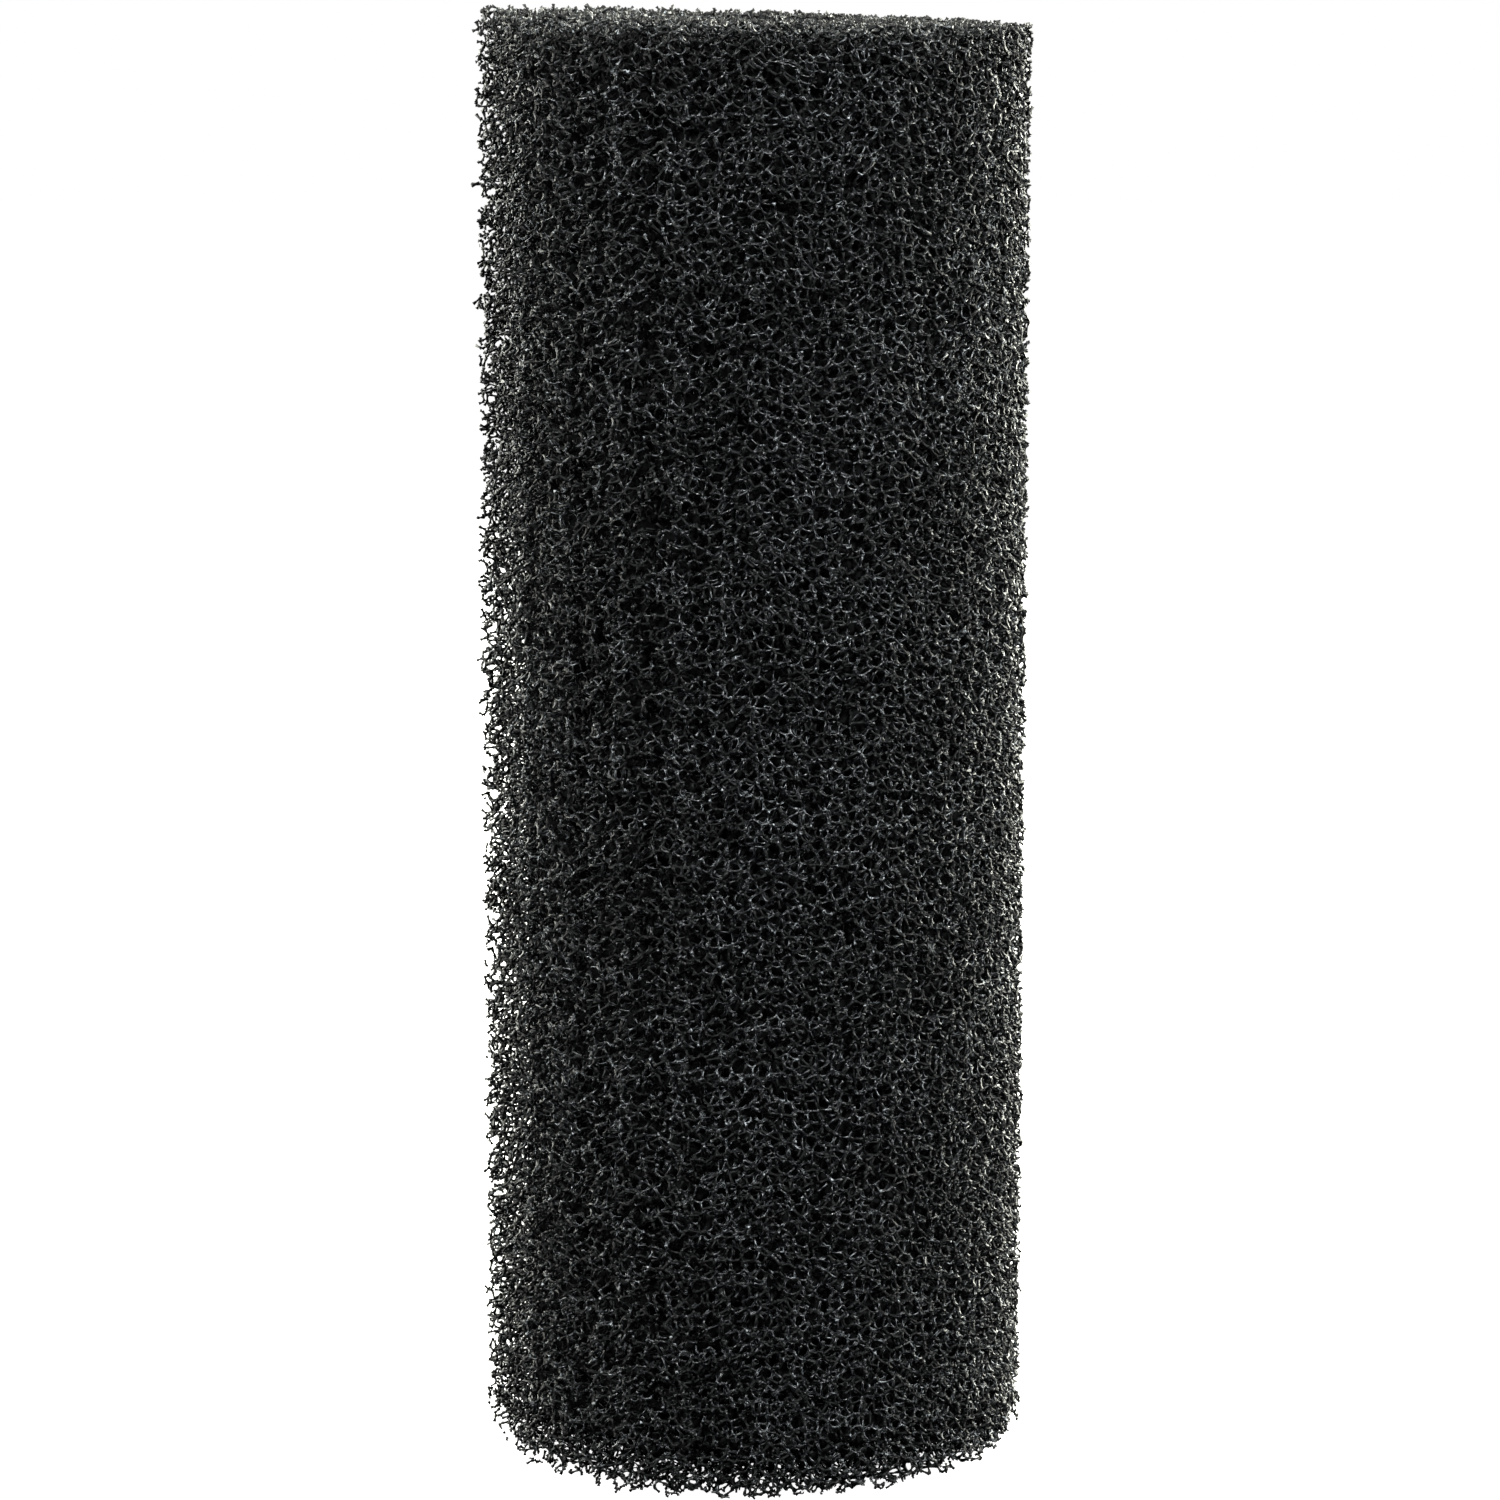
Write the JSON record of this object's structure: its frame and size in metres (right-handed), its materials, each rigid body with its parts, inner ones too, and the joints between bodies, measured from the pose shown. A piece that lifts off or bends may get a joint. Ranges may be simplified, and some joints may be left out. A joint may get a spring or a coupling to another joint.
{
  "type": "sponge filter",
  "caption": "Cylindrical open-cell foam filter for a pond pump or aquarium intake: a foam sleeve that pulls off a slotted core tube, with a plugged top and a bushed outlet.",
  "frame": {"origin": "centre of the bottom face, on the axis of the cylinder", "axes": "+Z along the axis, from the outlet towards the plugged end"},
  "size_m": [0.076, 0.076, 0.2],
  "materials": {
    "foam": "matte",
    "core_plastic": "satin",
    "bushing_rubber": "matte",
    "plug_plastic": "satin",
    "seal_rubber": "satin"
  },
  "bodies": {
    "core": {"strainer_core": "core_plastic", "outlet_bushing": "bushing_rubber"},
    "sleeve": {"sponge_sleeve": "foam"},
    "plug": {"end_plug": "plug_plastic", "plug_seal": "seal_rubber"}
  },
  "joints": [
    {"name": "sleeve_pull", "type": "slide", "parent": "core", "child": "sleeve", "axis": [0, 0, 1], "range_m": [0, 0.205]},
    {"name": "plug_pull", "type": "slide", "parent": "core", "child": "plug", "axis": [0, 0, 1], "range_m": [0, 0.03]}
  ]
}
